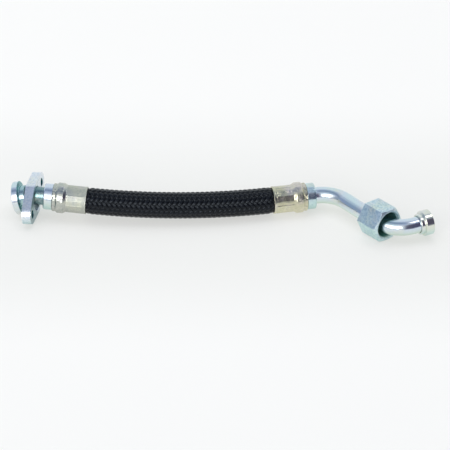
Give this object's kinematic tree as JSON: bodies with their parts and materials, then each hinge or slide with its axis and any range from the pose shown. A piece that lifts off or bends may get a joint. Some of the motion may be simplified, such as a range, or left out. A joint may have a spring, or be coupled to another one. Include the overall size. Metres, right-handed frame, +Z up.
{
  "type": "turbo oil return line",
  "caption": "Oil return line: braided hose crimped to steel fittings, with a loose bolt-on flange at one end and a bent tube with a union nut at the other.",
  "frame": {"origin": "centre of the bounding box's underside, on the floor that the line lies on", "axes": "+X from the flange end to the end nipple, +Y away from the side that the tube bends to, +Z up"},
  "size_m": [0.4568, 0.1008, 0.0387],
  "materials": {
    "head zinc": "bright blue zinc plate on turned steel",
    "neck zinc": "bright blue zinc plate on drawn steel tube",
    "flange zinc": "satin blue zinc plate on milled steel",
    "left nipple zinc": "bright blue zinc plate on turned steel",
    "left ferrule zinc": "grey zinc plate on crimped steel",
    "liner rubber": "plain black rubber",
    "braid": "black braided textile cover",
    "right ferrule zinc": "yellow zinc plate on crimped steel",
    "right nipple zinc": "bright blue zinc plate on turned steel",
    "tube zinc": "bright blue zinc plate on drawn steel tube",
    "nut zinc": "blue zinc plate on milled steel",
    "end zinc": "clear zinc plate on turned steel"
  },
  "bodies": {
    "line": {"flange_head": "head zinc", "neck_tube": "neck zinc", "left_hose_nipple": "left nipple zinc", "left_ferrule": "left ferrule zinc", "hose_liner": "liner rubber", "hose_braid": "braid", "right_ferrule": "right ferrule zinc", "right_hose_nipple": "right nipple zinc", "bent_tube": "tube zinc", "end_nipple": "end zinc"},
    "flange": {"mounting_flange": "flange zinc"},
    "nut": {"union_nut": "nut zinc"}
  },
  "joints": [
    {"name": "flange_spin", "type": "hinge", "parent": "line", "child": "flange", "pos_m": [-0.20464, 0.0153, 0.01926], "axis": [0.9735, -0.2069, 0.0976], "continuous": true},
    {"name": "nut_spin", "type": "hinge", "parent": "line", "child": "nut", "pos_m": [0.15924, -0.01742, 0.01872], "axis": [0.682, -0.7314, 0], "continuous": true}
  ]
}
